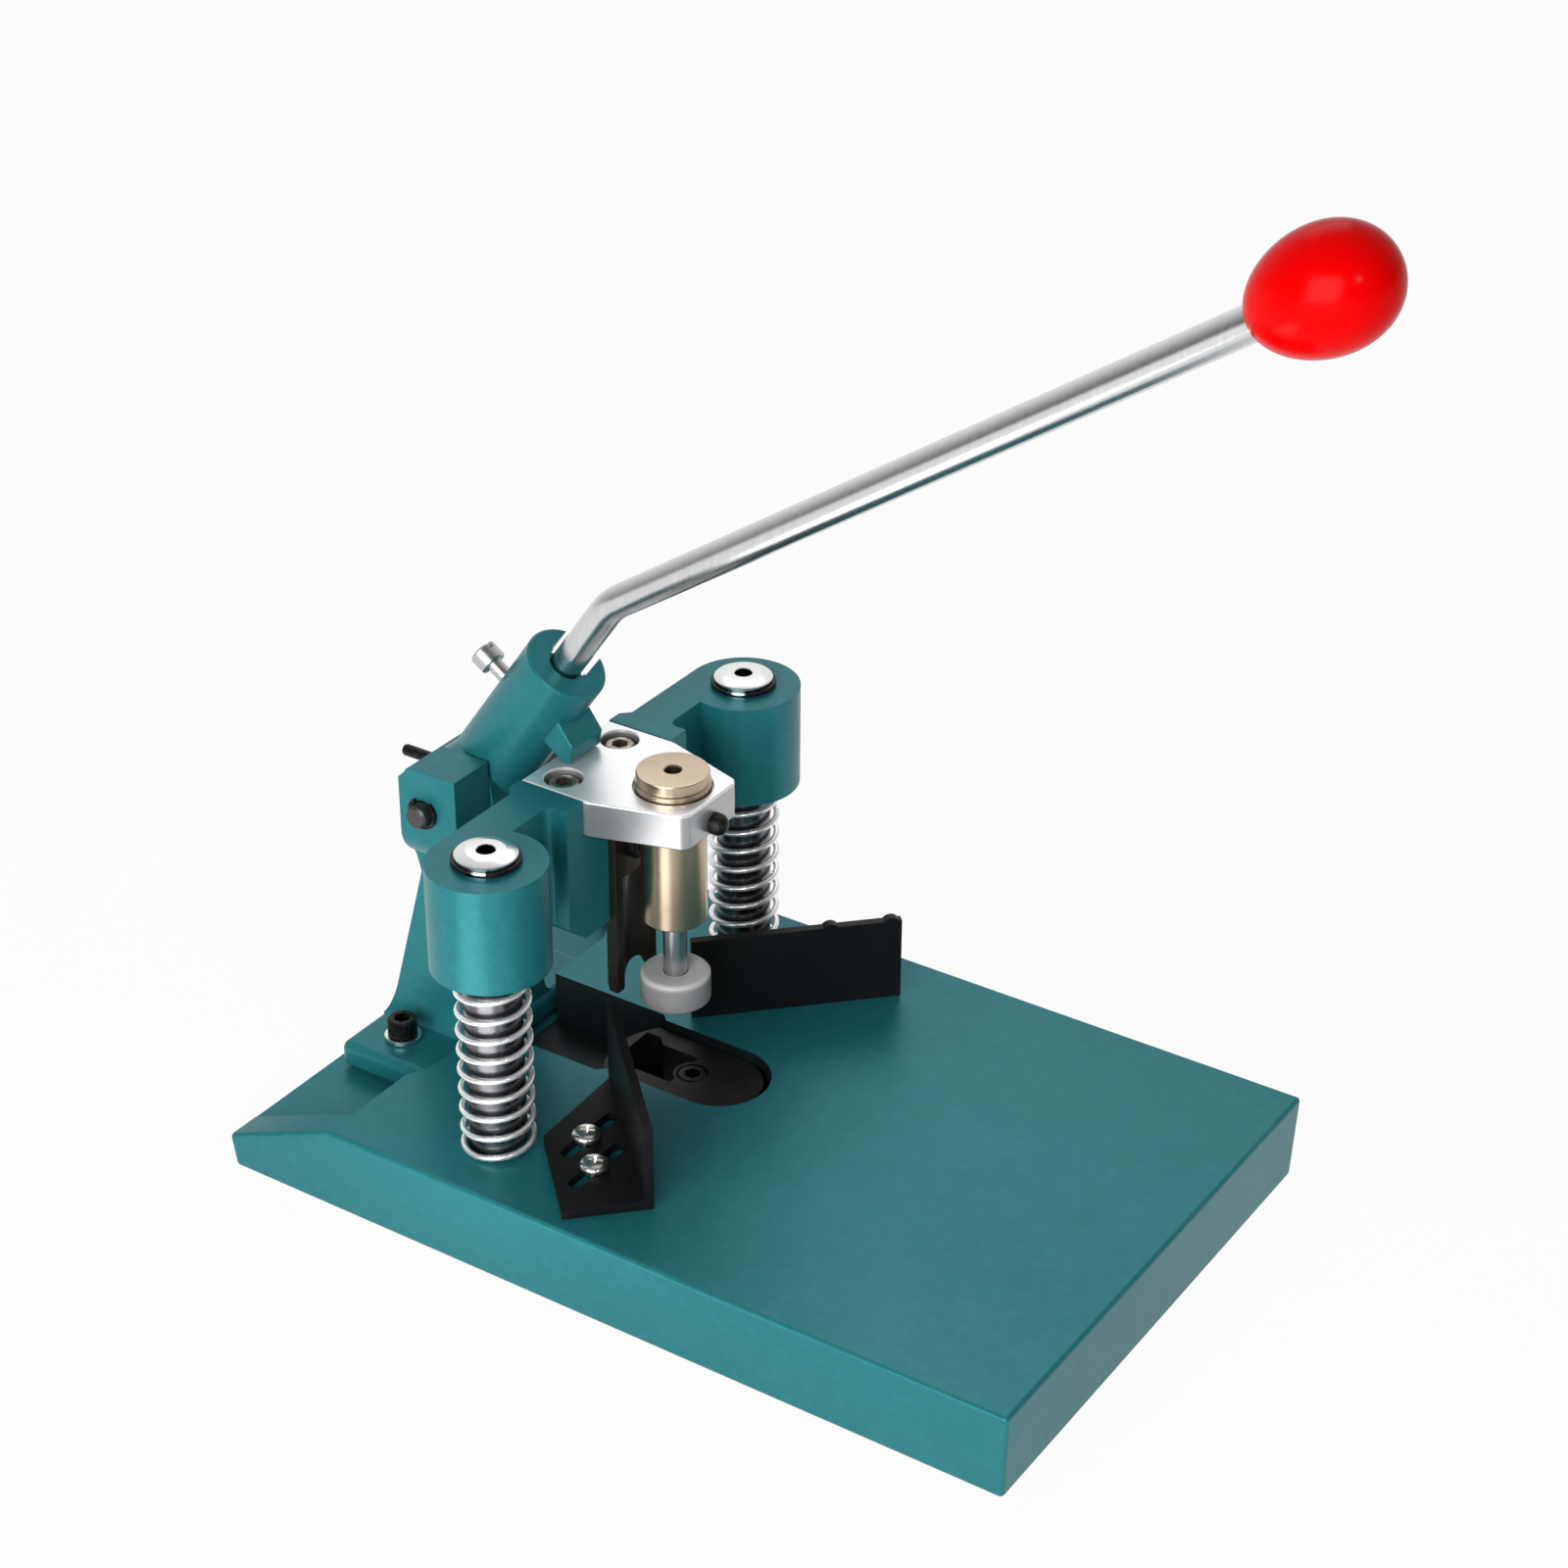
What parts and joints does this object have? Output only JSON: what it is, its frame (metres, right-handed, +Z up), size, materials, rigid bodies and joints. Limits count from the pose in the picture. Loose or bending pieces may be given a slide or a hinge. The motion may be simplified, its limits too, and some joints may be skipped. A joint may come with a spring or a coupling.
{
  "type": "desk corner rounder for paper",
  "caption": "Lever press that lowers a sprung crosshead on guide posts, so a curved knife trims a paper corner held by two angle fences.",
  "frame": {"origin": "centre of the base casting's underside", "axes": "+X to the user's right, +Y away from the user, +Z up; the handle reaches towards -Y"},
  "size_m": [0.19, 0.3362, 0.3606],
  "materials": {
    "teal_enamel": "glossy teal enamel over cast iron",
    "brushed_steel": "ground steel",
    "ground_chrome": "ground and plated guide post",
    "spring_steel": "bright drawn wire",
    "black_oxide": "black oxide screw finish",
    "knife_steel": "brown-black heat treated tool steel",
    "black_fence": "satin black coat on sheet steel",
    "milled_aluminium": "bright milled",
    "turned_brass": "turned, lightly toned",
    "grey_nylon": "translucent grey",
    "red_plastic": "polished red",
    "zinc_plate": "bright zinc",
    "die_steel": "dark hardened steel"
  },
  "bodies": {
    "frame": {"base_casting": "teal_enamel", "rear_bracket": "teal_enamel", "bracket_bolt_left": "black_oxide", "bracket_bolt_right": "black_oxide", "bracket_washer_left": "zinc_plate", "bracket_washer_right": "zinc_plate", "guide_post_left": "ground_chrome", "guide_post_right": "ground_chrome", "post_screw_left": "black_oxide", "post_screw_right": "black_oxide", "return_spring_left": "spring_steel", "return_spring_right": "spring_steel", "retaining_ring_left": "black_oxide", "retaining_ring_right": "black_oxide", "die_block": "die_steel", "die_screw": "black_oxide", "fence_screw_left_1": "zinc_plate", "fence_screw_left_2": "zinc_plate", "fence_screw_right_1": "zinc_plate", "fence_screw_right_2": "zinc_plate", "pivot_pin": "brushed_steel", "pin_clip_left": "black_oxide", "pin_clip_right": "black_oxide", "stop_screw": "black_oxide"},
    "crosshead": {"crosshead_casting": "teal_enamel", "blade": "knife_steel", "blade_screw": "black_oxide", "top_plate": "milled_aluminium", "plate_screw_left": "black_oxide", "plate_screw_right": "black_oxide", "presser_sleeve": "turned_brass", "sleeve_clamp_screw": "black_oxide", "presser_spring": "spring_steel"},
    "presser": {"presser_rod": "brushed_steel", "presser_foot": "grey_nylon"},
    "lever": {"lever_socket": "teal_enamel", "handle_rod": "brushed_steel", "handle_knob": "red_plastic", "handle_lock_screw": "brushed_steel"},
    "fence_left": {"fence_left": "black_fence"},
    "fence_right": {"fence_right": "black_fence"}
  },
  "joints": [
    {"name": "lever_pivot", "type": "hinge", "parent": "frame", "child": "lever", "pos_m": [0, 0.109, 0.1155], "axis": [1, 0, 0], "range_deg": [0, 40]},
    {"name": "crosshead_slide", "type": "slide", "parent": "frame", "child": "crosshead", "axis": [0, 0, 1], "range_m": [-0.0302, 0], "stiffness_N_per_m": 2000, "springref_m": 0.02, "deforming": ["return_spring_left", "return_spring_right"]},
    {"name": "presser_slide", "type": "slide", "parent": "crosshead", "child": "presser", "axis": [0, 0, 1], "range_m": [0, 0.006], "stiffness_N_per_m": 400, "springref_m": -0.01, "deforming": ["presser_spring"]},
    {"name": "fence_left_slide", "type": "slide", "parent": "frame", "child": "fence_left", "axis": [1, 0, 0], "range_m": [-0.003, 0.004]},
    {"name": "fence_right_slide", "type": "slide", "parent": "frame", "child": "fence_right", "axis": [1, 0, 0], "range_m": [-0.006, 0.001]}
  ],
  "couplings": [
    {"joint": "crosshead_slide", "follows": "lever_pivot", "m_per_rad": -0.0432},
    {"joint": "presser_slide", "follows": "lever_pivot", "m_per_rad": 0.00845}
  ]
}
